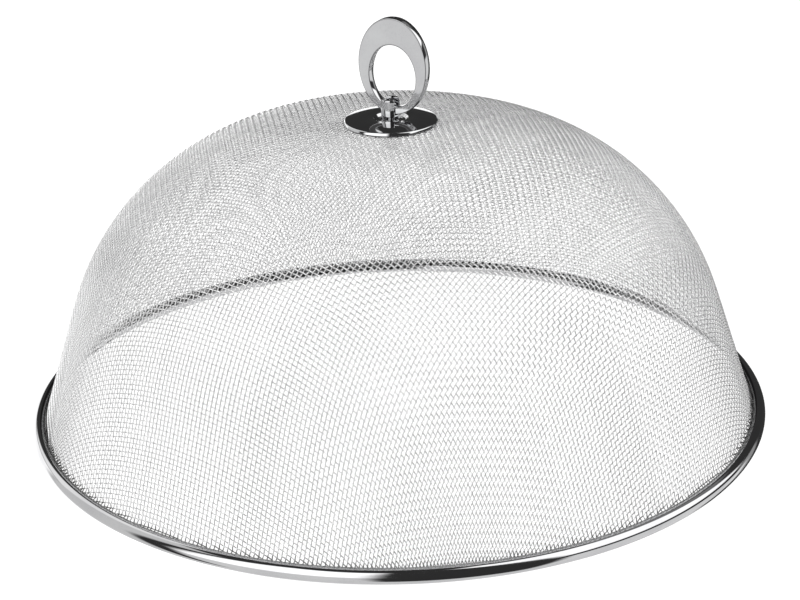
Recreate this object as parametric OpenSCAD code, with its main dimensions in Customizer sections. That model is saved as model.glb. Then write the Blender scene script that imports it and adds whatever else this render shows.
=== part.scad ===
// Buffet food cover: a dome of woven steel wire in a rolled sheet rim, lifted by an oval ring.
// The ring stands in a slotted post on a pressed base, clamped through the mesh by a cap nut.
// The rim stands on the table at z = 0, the dome's axis is Z, and the ring lies in the XZ plane.

/* [Rim] */
// Outer diameter of the rolled rim
rim_d = 300; // [270:1:330]
// Diameter of the rolled bead's section
bead_d = 6; // [5.8:0.1:7]
// Thickness of the rim's sheet steel
rim_sheet = 0.6; // [0.4:0.05:0.65]
// Depth of the flat pressed along the bead's underside
bead_flat = 0.15; // [0.05:0.05:0.2]
// Diameter of the stiffening wire inside the bead
core_wire_d = 3.2; // [2.4:0.1:3.2]

/* [Mesh dome] */
// Height of the mesh's top above the table
dome_h = 121.8; // [105:0.2:135]
// Radius of the crown's flat arc
crown_r = 500; // [400:10:700]
// Radius of the shoulder's arc
shoulder_r = 103; // [92:1:110]
// Slant of the wall from upright, in degrees
wall_slant = 18; // [14:0.5:20]
// Diameter of one wire of the mesh
mesh_wire_d = 0.42; // [0.3:0.02:0.46]
// Distance between the middles of neighbouring wires
mesh_pitch = 1.82; // [1.6:0.02:2.6]
// Inner radius of the bend from the wall into the rim
hem_bend_r = 0.8; // [0.6:0.05:1.2]
// How far the hem reaches past the middle of the bead
hem_reach = 0.8; // [0.3:0.1:1]

/* [Handle base] */
// Outer diameter of the base
base_d = 37.6; // [34:0.2:42]
// Height of the base from its edge to its crest
base_h = 2.85; // [2.5:0.05:4]
// Thickness of the base's sheet
base_sheet = 1; // [0.6:0.1:1.2]
// Diameter of the crest round the sunk floor
crest_d = 19; // [17:0.2:24]
// Diameter of the flat floor inside the crest
floor_d = 13; // [11:0.2:15]

/* [Handle post] */
// Diameter of the post
post_d = 7.6; // [6.8:0.1:9]
// Height of the post above the base's floor
post_h = 8.8; // [7:0.1:11]
// Height of the slot's floor above the base's floor
slot_floor_h = 2.7; // [2:0.1:3.5]
// Diameter of the threaded stud under the post
stud_d = 5; // [4:0.1:5.4]

/* [Handle ring] */
// Width of the oval ring
ring_w = 29.8; // [26:0.2:36]
// Height of the oval ring
ring_h = 38.8; // [35:0.2:46]
// Thickness of the ring's plate
ring_t = 3.8; // [2.5:0.1:4]
// Width of the finger hole
hole_w = 19.9; // [16:0.1:22]
// Height of the finger hole
hole_h = 24.7; // [20:0.1:28]
// Depth of metal under the finger hole
ring_foot = 3; // [2:0.1:4]
// How far along its slot the ring stands from the post's middle
ring_shift = 2; // [0:0.1:2.5]

/* [Fasteners under the mesh] */
// Diameter of the backing washer
washer_d = 24; // [18:0.5:30]
// Thickness of the backing washer
washer_t = 1.2; // [0.8:0.1:2]
// Diameter of the spring washer
spring_d = 9.2; // [8:0.1:11]
// Thickness of the spring washer
spring_t = 1.2; // [0.8:0.1:1.6]
// Width of the cut through the spring washer
spring_cut = 1; // [0.6:0.1:1.6]
// Width of the cap nut across its flats
nut_af = 8; // [7.6:0.1:10]
// Height of the cap nut's hexagon
nut_h = 4.5; // [3.6:0.1:6]
// Diameter of the cap nut's round end
nut_cap_d = 7.6; // [7:0.1:7.6]
// Depth of the free space past the stud's end
nut_end_room = 0.5; // [0.3:0.1:1]

/* [Clearances] */
// Gap between pieces that press on each other
seat_gap = 0.1; // [0.05:0.05:0.2]
// Gap round the stiffening wire
core_gap = 0.15; // [0.1:0.05:0.2]
// Gap between the rim's lip and the mesh
lip_gap = 0.3; // [0.2:0.05:0.4]
// Gap on each side of the ring in its slot
slot_gap = 0.1; // [0.05:0.05:0.2]
// Gap round the stud in the holes that it passes
hole_gap = 0.15; // [0.1:0.05:0.3]
// Gap round the stud in the nut
thread_gap = 0.05; // [0.02:0.01:0.08]

/* [Hidden] */

// Facets of a turned piece, and of a circle in its section
$fn = 180;
arc_fn = 1440;
// Points of an oval outline
oval_points = 96;
// Steps along an arc of the mesh's section
arc_steps = 16;
// How far a cut runs past the face that it opens
overrun = 1;
// Steps of the base's rounded top, the power of its curve, and the share of the curve that it uses
base_steps = 16;
base_power = 4;
base_curve_share = 0.985;
// Rows of openings that stand for the mesh, and openings round the first row and round the others
window_rows = 6;
first_row_windows = 12;
row_windows = 24;

// The bead and the wire inside it
bead_r = bead_d / 2;
bead_hollow_r = bead_r - rim_sheet;
bead_mid_r = rim_d / 2 - bead_r;
bead_mid_z = bead_r - bead_flat;
core_wire_r = core_wire_d / 2;
core_wire_z = bead_mid_z - bead_hollow_r + core_gap + core_wire_r;

// The hole that the stud passes through
stud_hole_r = stud_d / 2 + hole_gap;

// The mesh's hem lies on the wire, under the bead's lip
mesh_t = 2 * mesh_wire_d;
hem_bottom = core_wire_z + core_wire_r + core_gap;
hem_top = hem_bottom + mesh_t;
slot_bottom = hem_bottom - core_gap;
slot_top = hem_top + lip_gap;
lip_r = bead_mid_r - chord_half(bead_r, slot_top - bead_mid_z);
hem_end_r = bead_mid_r + hem_reach;

// The bend, the slanted wall, the shoulder and the crown of the mesh's outer face
bend_mid = [lip_r, hem_top + hem_bend_r];
wall_up = [-sin(wall_slant), cos(wall_slant)];
wall_out = [cos(wall_slant), sin(wall_slant)];
wall_foot = bend_mid - hem_bend_r * wall_out;
crown_mid = [0, dome_h - crown_r];
shoulder_run = run_to_arc(wall_foot - shoulder_r * wall_out - crown_mid, wall_up, crown_r - shoulder_r);
wall_head = wall_foot + shoulder_run * wall_up;
shoulder_mid = wall_head - shoulder_r * wall_out;
shoulder_turn = atan2(shoulder_mid[0] - crown_mid[0], shoulder_mid[1] - crown_mid[1]);
wall_turn = 90 - wall_slant;

// Lengths of the crown, the shoulder and the wall along the outer face, from the top down
per_degree = PI / 180;
crown_len = crown_r * shoulder_turn * per_degree;
shoulder_len = shoulder_r * (wall_turn - shoulder_turn) * per_degree;
wall_len = shoulder_run;

// The handle's levels above the table
base_r = base_d / 2;
floor_top = dome_h + seat_gap + base_sheet;
edge_bottom = crown_z(crown_r, base_r) + seat_gap;
crest_r = crest_d / 2;
crest_z = edge_bottom + base_h;
base_end_turn = asin(pow(base_curve_share, base_power / 2));
slot_floor_z = floor_top + slot_floor_h;
ring_bottom = slot_floor_z + seat_gap;
ring_mid_z = ring_bottom + ring_h / 2;
hole_mid_z = ring_bottom + ring_foot + hole_h / 2;

// The rows of openings lie between the base and the wall's foot, with bars as wide as the wires' share
bar_share = mesh_wire_d / mesh_pitch;
row_len = (crown_len + shoulder_len + wall_len - base_r) / window_rows;

// The fasteners' levels under the mesh
washer_top = crown_z(crown_r - mesh_t, washer_d / 2) - seat_gap;
washer_bottom = washer_top - washer_t;
spring_bottom = washer_bottom - spring_t;
nut_bottom = spring_bottom - nut_h;

// Half the width of a circle at a given distance from its middle
function chord_half(radius, distance) = sqrt(radius * radius - distance * distance);

// Height of an arc about the crown's middle, at a given distance from the axis
function crown_z(radius, distance) = crown_mid[1] + chord_half(radius, distance);

// Angle at which such an arc reaches the stud's hole
function hole_turn(radius) = asin(stud_hole_r / radius);

// How far a point has to run along a direction until it lies at a given distance from the origin
function run_to_arc(start, way, distance) =
    let (along = start * way)
    sqrt(along * along - start * start + distance * distance) - along;

// A direction in the section, as an angle turned outwards from straight up
function turned(angle) = [sin(angle), cos(angle)];

// The points of an arc in the section, without its first point
function arc(mid, radius, from_angle, to_angle) = [
    for (i = [1 : arc_steps])
    mid + radius * turned(from_angle + (to_angle - from_angle) * i / arc_steps)
];

// Turn of the outer face from level, at a given distance along it from the top
function face_turn(s) =
    s < crown_len ? s / crown_r / per_degree
    : s < crown_len + shoulder_len ? shoulder_turn + (s - crown_len) / shoulder_r / per_degree
    : wall_turn;

// Point of the outer face at a given distance along it from the top
function face_point(s) =
    s < crown_len ? crown_mid + crown_r * turned(face_turn(s))
    : s < crown_len + shoulder_len ? shoulder_mid + shoulder_r * turned(face_turn(s))
    : wall_head - (s - crown_len - shoulder_len) * wall_up;

// Point at a given height off the outer face
function off_face(s, height) = face_point(s) + height * turned(face_turn(s));

// The base's rounded top, which stays flat until it is near its edge, without its first point at the crest
function base_top(crest_level, wide, tall) = [
    for (i = [1 : base_steps])
    let (
        turn = base_end_turn * i / base_steps,
        out_share = pow(sin(turn), 2 / base_power) / base_curve_share,
        fall_share = (1 - cos(turn)) / (1 - cos(base_end_turn))
    )
    [crest_r + wide * out_share, crest_level - tall * fall_share]
];

// A list in the opposite order
function reversed(list) = [for (i = [len(list) - 1 : -1 : 0]) list[i]];

// The points of an oval of the given width and height
function oval(width, height) = [
    for (i = [0 : oval_points - 1])
    let (angle = 360 * i / oval_points)
    [width / 2 * cos(angle), height / 2 * sin(angle)]
];

// A plain ring on the dome's axis
module collar(outer_r, inner_r, bottom, height) {
    translate([0, 0, bottom])
        difference() {
            cylinder(h = height, r = outer_r);
            translate([0, 0, -overrun])
                cylinder(h = height + 2 * overrun, r = inner_r);
        }
}

// The tools that cut one row of openings, between two levels of the dome
module window_row(row) {
    first = base_r + row_len * (row + bar_share / 2);
    last = base_r + row_len * (row + 1 - bar_share / 2);
    middle = (first + last) / 2;
    under = -mesh_t - overrun;
    around = row == 0 ? first_row_windows : row_windows;
    step = 360 / around;
    for (i = [0 : around - 1])
        rotate([0, 0, step * (i + bar_share / 2)])
            rotate_extrude(angle = step * (1 - bar_share))
            polygon([
                off_face(first, overrun),
                off_face(middle, overrun),
                off_face(last, overrun),
                off_face(last, under),
                off_face(middle, under),
                off_face(first, under)
            ]);
}

// The pressed wire cloth: crown, shoulder, slanted wall, and a hem turned out into the rim
// A plain grid of openings stands for its mesh
module mesh_dome() {
    inner_crown_r = crown_r - mesh_t;
    color("silver")
        difference() {
            rotate_extrude()
                polygon(concat(
                    [[stud_hole_r, crown_z(crown_r, stud_hole_r)]],
                    arc(crown_mid, crown_r, hole_turn(crown_r), shoulder_turn),
                    arc(shoulder_mid, shoulder_r, shoulder_turn, wall_turn),
                    [wall_foot],
                    arc(bend_mid, hem_bend_r, 180 + wall_turn, 180),
                    [[hem_end_r, hem_top], [hem_end_r, hem_bottom], [lip_r, hem_bottom]],
                    arc(bend_mid, hem_bend_r + mesh_t, 180, 180 + wall_turn),
                    [wall_head - mesh_t * wall_out],
                    arc(shoulder_mid, shoulder_r - mesh_t, wall_turn, shoulder_turn),
                    arc(crown_mid, inner_crown_r, shoulder_turn, hole_turn(inner_crown_r))
                ));
            for (row = [0 : window_rows - 1])
                window_row(row);
        }
}

// The sheet rolled into a bead, open on its inner side where the mesh's hem goes in
module rim_band() {
    color("lightgray")
        rotate_extrude()
        difference() {
            translate([bead_mid_r, bead_mid_z])
                difference() {
                    circle(bead_r, $fn = arc_fn);
                    circle(bead_hollow_r, $fn = arc_fn);
                }
            translate([bead_mid_r - bead_r - overrun, slot_bottom])
                square([bead_r + overrun, slot_top - slot_bottom]);
            translate([bead_mid_r - bead_r, -overrun])
                square([bead_d, overrun]);
        }
}

// The wire that keeps the rolled bead round
module rim_core_wire() {
    color("gray")
        rotate_extrude()
        translate([bead_mid_r, core_wire_z])
        circle(core_wire_r, $fn = arc_fn);
}

// The pressed base: a top that rounds over to its edge, a crest, and a floor sunk inside the crest
module handle_base() {
    under_crest_z = crest_z - base_sheet;
    top_w = base_r - crest_r;
    color("dimgray")
        rotate_extrude()
        polygon(concat(
            [[stud_hole_r, floor_top], [floor_d / 2, floor_top], [crest_r, crest_z]],
            base_top(crest_z, top_w, base_h),
            reversed(base_top(under_crest_z, top_w - base_sheet, base_h - base_sheet)),
            [
                [crest_r, under_crest_z],
                [floor_d / 2, floor_top - base_sheet],
                [stud_hole_r, floor_top - base_sheet]
            ]
        ));
}

// The post with its slot for the ring, and the stud that goes down through the mesh
module handle_post() {
    slot_w = ring_t + 2 * slot_gap;
    color("lightgray") {
        difference() {
            translate([0, 0, floor_top])
                cylinder(h = post_h, d = post_d);
            translate([-post_d / 2 - overrun, -slot_w / 2, slot_floor_z])
                cube([post_d + 2 * overrun, slot_w, post_h]);
        }
        translate([0, 0, nut_bottom])
            cylinder(h = floor_top - nut_bottom, d = stud_d);
    }
}

// The oval ring with its finger hole set low, so that it is thick at the top
module handle_ring() {
    color("gainsboro")
        translate([0, ring_t / 2, 0])
        rotate([90, 0, 0])
        linear_extrude(height = ring_t)
        difference() {
            translate([ring_shift, ring_mid_z])
                polygon(oval(ring_w, ring_h));
            translate([ring_shift, hole_mid_z])
                polygon(oval(hole_w, hole_h));
        }
}

// The washer that spreads the nut's pull over the mesh
module backing_washer() {
    color("silver")
        collar(washer_d / 2, stud_hole_r, washer_bottom, washer_t);
}

// The split washer that keeps the nut tight
module spring_washer() {
    color("gray")
        difference() {
            collar(spring_d / 2, stud_hole_r, spring_bottom, spring_t);
            translate([0, -spring_cut / 2, spring_bottom - overrun])
                cube([spring_d, spring_cut, spring_t + 2 * overrun]);
        }
}

// The cap nut on the stud's end, with its round end down
module cap_nut() {
    color("silver")
        difference() {
            union() {
                translate([0, 0, nut_bottom])
                    cylinder(h = nut_h, r = nut_af / 2 / cos(30), $fn = 6);
                translate([0, 0, nut_bottom])
                    sphere(d = nut_cap_d);
            }
            translate([0, 0, nut_bottom - nut_end_room])
                cylinder(h = nut_h + nut_end_room + overrun, r = stud_d / 2 + thread_gap);
        }
}

mesh_dome();
rim_band();
rim_core_wire();
handle_base();
handle_post();
handle_ring();
backing_washer();
spring_washer();
cap_nut();
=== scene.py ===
"""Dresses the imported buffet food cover: a woven wire dome in a rolled rim, lifted by an oval ring.

Lengths in the classes are millimetres, as in the part's source, and become metres when a mesh is
made. The dome's axis is Z, the rim stands on the floor at Z = 0, and the ring handle lies in the
XZ plane.
"""

import logging
import math
from dataclasses import dataclass
from enum import Enum

import bpy
import numpy as np
from mathutils import Matrix
from numpy.typing import NDArray


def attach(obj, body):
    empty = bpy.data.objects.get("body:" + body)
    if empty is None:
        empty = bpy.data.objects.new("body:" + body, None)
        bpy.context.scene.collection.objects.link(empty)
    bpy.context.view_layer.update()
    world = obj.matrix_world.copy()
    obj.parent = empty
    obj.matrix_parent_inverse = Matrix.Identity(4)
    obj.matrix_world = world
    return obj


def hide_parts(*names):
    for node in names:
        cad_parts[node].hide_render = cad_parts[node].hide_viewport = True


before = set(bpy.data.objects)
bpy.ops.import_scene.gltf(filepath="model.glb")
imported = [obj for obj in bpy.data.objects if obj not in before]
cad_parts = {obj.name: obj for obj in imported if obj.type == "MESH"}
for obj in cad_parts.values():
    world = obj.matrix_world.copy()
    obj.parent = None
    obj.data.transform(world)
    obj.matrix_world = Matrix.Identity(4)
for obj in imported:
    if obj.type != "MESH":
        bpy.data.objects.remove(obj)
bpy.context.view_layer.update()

LOG = logging.getLogger("food_cover")
Array = NDArray[np.float64]
Faces = NDArray[np.int32]
Piece = bpy.types.Object
Socket = bpy.types.NodeSocket
BODY = "root"
MM = 0.001
TURN = 2.0 * math.pi
QUARTER = math.pi / 2


class Slot(Enum):
    """Names of the record's material slots."""

    WIRE = "woven_wire"
    RIM = "polished_rim"
    BASE = "chrome_base"
    POST = "chrome_post"
    RING = "chrome_ring"


class Tone(Enum):
    """The two colours that a metal is mixed from."""

    CHROME = ((0.55, 0.555, 0.56), (0.5, 0.5, 0.51))
    SHEET = ((0.54, 0.54, 0.545), (0.5, 0.5, 0.51))
    WIRE = ((0.84, 0.84, 0.84), (0.73, 0.73, 0.735))
    STEEL = ((0.5, 0.5, 0.5), (0.4, 0.4, 0.4))
    PLATED = ((0.55, 0.55, 0.55), (0.45, 0.45, 0.45))


class Gloss(Enum):
    """Roughness of a metal where it is clean and where it is hazy."""

    MIRROR = (0.02, 0.06)
    BRIGHT = (0.03, 0.07)
    POLISHED = (0.04, 0.1)
    DRAWN = (0.1, 0.18)
    PLATED = (0.15, 0.3)
    SATIN = (0.25, 0.4)


class PaintedShade(Enum):
    """Painted shade: the dark colour that a metal takes along the edges that its piece marks."""

    # Painted dark outline on the ring's corners, standing in for a dark reflection.
    RING = (0.3, 0.3, 0.305)
    # Painted shade on the wires where the hem goes into the rim's dark slot.
    HEM = (0.22, 0.22, 0.22)
    # Painted shade on the rim's upper lip.
    LIP = (0.12, 0.12, 0.12)
    # Painted shadow line round the foot of the base's lip.
    FOOT = (0.03, 0.03, 0.03)


class Family(Enum):
    """The two sets of wires that cross in the cloth, by which is on top at the crown."""

    WARP = 1
    WEFT = -1


def steps(first: float, last: float, count: int) -> Array:
    """Evenly spaced values from first to last, both included."""
    return np.linspace(first, last, count)


def unit(vectors: Array) -> Array:
    """Vectors scaled to length one along their last axis."""
    return vectors / np.linalg.norm(vectors, axis=-1, keepdims=True)


def circle(angle: Array) -> Array:
    """Points of a circle of radius one at the given angles."""
    return np.stack([np.cos(angle), np.sin(angle)], axis=-1)


def grid_faces(rows: int, columns: int, wrap_rows: bool, wrap_columns: bool) -> Faces:
    """Four-sided faces between neighbours of a grid of points stored row by row.

    Args:
        rows: Number of rows.
        columns: Number of points in a row.
        wrap_rows: Whether the last row joins the first.
        wrap_columns: Whether the last point of a row joins its first.

    Returns:
        Corner indices, one face a line.
    """
    i = np.arange(rows if wrap_rows else rows - 1)[:, None]
    j = np.arange(columns if wrap_columns else columns - 1)[None, :]
    i, j = np.broadcast_arrays(i, j)
    below, beside = (i + 1) % rows * columns, (j + 1) % columns
    corners = (i * columns + j, i * columns + beside, below + beside, below + j)
    return np.stack(corners, axis=-1).reshape(-1, 4).astype(np.int32)


def end_caps(rows: int, loop: int) -> Faces:
    """Four-sided faces that close both ends of a stack of loops.

    Each face takes two sides of a loop and a middle point, so the loops need an even number of
    points. The two middle points are stored after the stack.

    Args:
        rows: Number of loops.
        loop: Points of each loop.

    Returns:
        Corner indices, first of the lower end and then of the upper one.
    """
    k, count = np.arange(0, loop, 2), rows * loop
    ring = np.stack([k, k + 1, (k + 2) % loop], axis=-1)
    lower = np.insert(ring, 0, count, axis=1)[:, ::-1]
    upper = np.insert(ring + count - loop, 0, count + 1, axis=1)
    return np.concatenate([lower, upper]).astype(np.int32)


def outward(points: Array, faces: Faces) -> Faces:
    """Turns a closed shell's faces round if they point inwards.

    The sign comes from the shell's volume: a sixth of the triple product of each triangle's
    corners, summed.

    Args:
        points: Corner points.
        faces: Corner indices of four-sided faces.

    Returns:
        The faces in the order that points outwards.
    """
    a, b, c, d = (points[faces[:, k]] for k in range(4))
    volume = np.einsum("ij,ij->", a, np.cross(b, c) + np.cross(c, d))
    return faces if volume > 0 else faces[:, ::-1]


def rounded(corners: Array, radii: Array, count: int) -> Array:
    """A closed outline whose corners are replaced by arcs tangent to both sides.

    An arc of radius R at a corner of half angle A starts R over tan A from the corner, and its
    middle lies R over sin A along the bisector. Points on it turn evenly from one side to the
    other.

    Args:
        corners: The outline's corners, one a line.
        radii: The arc's radius at each corner.
        count: Points on each arc.

    Returns:
        The points of the rounded outline.
    """
    back = unit(np.roll(corners, 1, axis=0) - corners)
    ahead = unit(np.roll(corners, -1, axis=0) - corners)
    half = 0.5 * np.arccos(np.clip(np.einsum("ij,ij->i", back, ahead), -1.0, 1.0))
    middle = corners + unit(back + ahead) * (radii / np.sin(half))[:, None]
    reach = (radii / np.tan(half))[:, None]
    start, end = corners + back * reach - middle, corners + ahead * reach - middle
    sweep = (math.pi - 2.0 * half)[:, None]
    share = steps(0.0, 1.0, count)[None, :]
    from_start = (np.sin((1.0 - share) * sweep) / np.sin(sweep))[..., None]
    from_end = (np.sin(share * sweep) / np.sin(sweep))[..., None]
    arcs = middle[:, None] + from_start * start[:, None] + from_end * end[:, None]
    return arcs.reshape(-1, 2)


def refined(outline: Array, spacing: float) -> Array:
    """A closed outline with extra points, so that no side is longer than the spacing.

    Args:
        outline: Points of the outline, one a line.
        spacing: The longest side that is left whole.

    Returns:
        The old points and evenly spaced new ones between them.
    """
    ahead = np.roll(outline, -1, axis=0)
    length = np.linalg.norm(ahead - outline, axis=1)
    parts = np.maximum(1, np.ceil(length / spacing)).astype(int)
    which = np.repeat(np.arange(len(outline)), parts)
    place = np.arange(parts.sum()) - np.repeat(np.cumsum(parts) - parts, parts)
    share = (place / parts[which])[:, None]
    return outline[which] * (1.0 - share) + ahead[which] * share


def turned(outline: Array, around: int) -> Array:
    """Points of an outline carried round the Z axis, row by row.

    A point at distance r and height z, turned by angle t, lies at (r cos t, r sin t, z).

    Args:
        outline: Distance from the axis and height of each point of the section.
        around: Number of sections round the axis.

    Returns:
        The points, one a line.
    """
    angle = np.arange(around) * (TURN / around)
    r, z = outline[:, 0, None], outline[:, 1, None]
    shape = np.broadcast_arrays(r * np.cos(angle), r * np.sin(angle), z)
    return np.stack(shape, axis=-1).reshape(-1, 3)


def add_piece(name: str, points: Array, faces: Faces, slot: Slot, *nodes: str) -> Piece:
    """Makes a smooth mesh object that rides on the body and stands for CAD nodes.

    Args:
        name: The piece's name.
        points: Corner points in millimetres.
        faces: Corner indices of four-sided faces.
        slot: Not used.
        nodes: CAD nodes that the piece stands for, alone or with other pieces.

    Returns:
        The new object.
    """
    mesh = bpy.data.meshes.new(name)
    mesh.vertices.add(len(points))
    mesh.vertices.foreach_set("co", (points * MM).astype(np.float32).ravel())
    mesh.loops.add(faces.size)
    mesh.loops.foreach_set("vertex_index", np.ascontiguousarray(faces, np.int32).ravel())
    mesh.polygons.add(len(faces))
    starts = np.arange(0, faces.size, faces.shape[1], dtype=np.int32)
    mesh.polygons.foreach_set("loop_start", starts)
    mesh.polygons.foreach_set("use_smooth", np.ones(len(faces), dtype=bool))
    mesh.update(calc_edges=True)
    mesh.validate()
    piece = bpy.data.objects.new(name, mesh)
    bpy.context.scene.collection.objects.link(piece)
    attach(piece, BODY)
    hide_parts(*nodes)
    LOG.info("%s: %d points, %d faces", name, len(points), len(faces))
    return piece


def add_shade(piece: Piece, label: str, values: Array) -> None:
    """Gives each point of a piece a value that its finish can read."""
    made = piece.data.attributes.new(label, "FLOAT", "POINT")
    made.data.foreach_set("value", values.astype(np.float32))


def turned_shell(outline: Array, around: int) -> tuple[Array, Faces]:
    """Points and faces of a closed outline carried round the Z axis."""
    points = turned(outline, around)
    return points, outward(points, grid_faces(len(outline), around, True, True))


class Tree:
    """Short calls that lay out the nodes of a material, group or world."""

    MIX_SOCKETS, MIX_RESULT = (0, 6, 7), 2

    def __init__(self, tree: bpy.types.NodeTree) -> None:
        """Takes an empty node tree."""
        self.tree = tree

    def add(self, kind: str, inputs: dict | None = None, **settings: object) -> bpy.types.Node:
        """Adds a node, sets its properties, and fills or links its inputs.

        Args:
            kind: Blender's type name of the node, without the ShaderNode prefix.
            inputs: Values or output sockets, by input name or number.
            settings: Properties of the node.

        Returns:
            The new node.
        """
        prefix = "" if kind.startswith("Node") else "ShaderNode"
        node = self.tree.nodes.new(prefix + kind)
        for name, value in settings.items():
            setattr(node, name, value)
        for name, value in (inputs or {}).items():
            if isinstance(value, Socket):
                self.tree.links.new(value, node.inputs[name])
            else:
                node.inputs[name].default_value = value
        return node

    def math(self, operation: str, *values: object) -> Socket:
        """Output of a Math node with the given operation and values."""
        return self.add("Math", dict(enumerate(values)), operation=operation).outputs[0]

    def ramp(
        self, value: object, edges: tuple[float, float], first: float, last: float
    ) -> Socket:
        """A smooth step from one number to another.

        Args:
            value: What the step follows.
            edges: Where the step starts and ends.
            first: The number before the step.
            last: The number after it.

        Returns:
            The step's output.
        """
        names = ("Value", "From Min", "From Max", "To Min", "To Max")
        inputs = dict(zip(names, (value, *edges, first, last)))
        return self.add("MapRange", inputs, interpolation_type="SMOOTHSTEP").outputs["Result"]

    def mix(self, share: object, first: object, second: object) -> Socket:
        """Output of a colour that goes from first to second as share goes from 0 to 1."""
        inputs = dict(zip(self.MIX_SOCKETS, (share, first, second)))
        return self.add("Mix", inputs, data_type="RGBA").outputs[self.MIX_RESULT]

    @classmethod
    def of(cls, owner: bpy.types.Material | bpy.types.World) -> "Tree":
        """Empties the nodes of a material or world.

        Args:
            owner: The material or world.

        Returns:
            The calls that fill its nodes.
        """
        owner.use_nodes = True
        owner.node_tree.nodes.clear()
        return cls(owner.node_tree)

    def attribute(self, label: str) -> Socket:
        """Output of a value that the points of a piece carry."""
        return self.add("Attribute", attribute_name=label).outputs["Fac"]


class EffectGroups:
    """Shader node groups that several finishes share, each built once."""

    HAZE = {"Patch Scale": 60.0, "Speck Scale": 900.0, "Low": 0.05, "High": 0.12}
    LINES = {"Across": 4000.0, "Along": 6.0}
    PATCH_DETAIL, SPECK_DETAIL, LINE_DETAIL = 4.0, 2.0, 3.0
    PATCH_EDGES, SPECK_EDGES, SPECK_TOP = (0.35, 0.7), (0.45, 0.75), 0.35

    def __init__(self) -> None:
        """Builds the groups."""
        self.haze = self._handling_haze()
        self.lines = self._polish_lines()

    @staticmethod
    def _start(
        name: str, inputs: dict[str, float], outputs: tuple[str, ...]
    ) -> tuple[bpy.types.NodeTree, Tree]:
        """Makes an empty group with named number sockets.

        Args:
            name: The group's name.
            inputs: Default value of each input.
            outputs: Names of the outputs.

        Returns:
            The group and the calls that fill it.
        """
        group = bpy.data.node_groups.new(name, "ShaderNodeTree")
        face, kind = group.interface, "NodeSocketFloat"
        for label, value in inputs.items():
            made = face.new_socket(label, in_out="INPUT", socket_type=kind)
            made.default_value = value
        for label in outputs:
            face.new_socket(label, in_out="OUTPUT", socket_type=kind)
        return group, Tree(group)

    def _handling_haze(self) -> bpy.types.NodeTree:
        """Builds soft patches and fine specks, as fingers and cloths leave on polished metal.

        Returns:
            The group.
        """
        group, tree = self._start("handling_haze", self.HAZE, ("Roughness", "Mask"))
        given = tree.add("NodeGroupInput").outputs
        place = tree.add("TexCoord").outputs["Object"]
        inputs = {"Vector": place, "Scale": given["Patch Scale"], "Detail": self.PATCH_DETAIL}
        soft = tree.ramp(tree.add("TexNoise", inputs).outputs[0], self.PATCH_EDGES, 0.0, 1.0)
        inputs = {"Vector": place, "Scale": given["Speck Scale"], "Detail": self.SPECK_DETAIL}
        speck = tree.add("TexNoise", inputs).outputs[0]
        fine = tree.ramp(speck, self.SPECK_EDGES, 0.0, self.SPECK_TOP)
        mask = tree.math("MINIMUM", tree.math("ADD", soft, fine), 1.0)
        inputs = {"Value": mask, "To Min": given["Low"], "To Max": given["High"]}
        rough = tree.add("MapRange", inputs).outputs["Result"]
        tree.add("NodeGroupOutput", {"Roughness": rough, "Mask": mask})
        return group

    def _polish_lines(self) -> bpy.types.NodeTree:
        """Builds fine lines that run round the Z axis, as turning and buffing leave.

        Returns:
            The group.
        """
        group, tree = self._start("polish_lines", self.LINES, ("Height",))
        given = tree.add("NodeGroupInput").outputs
        x, y, z = tree.add("SeparateXYZ", {0: tree.add("TexCoord").outputs["Object"]}).outputs
        squares = tree.math("ADD", tree.math("MULTIPLY", x, x), tree.math("MULTIPLY", y, y))
        r = tree.math("MULTIPLY", tree.math("SQRT", squares), given["Across"])
        z = tree.math("MULTIPLY", z, given["Across"])
        t = tree.math("MULTIPLY", tree.math("ARCTAN2", y, x), given["Along"])
        place = tree.add("CombineXYZ", {0: r, 1: z, 2: t}).outputs[0]
        inputs = {"Vector": place, "Scale": 1.0, "Detail": self.LINE_DETAIL}
        tree.add("NodeGroupOutput", {"Height": tree.add("TexNoise", inputs).outputs[0]})
        return group


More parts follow.
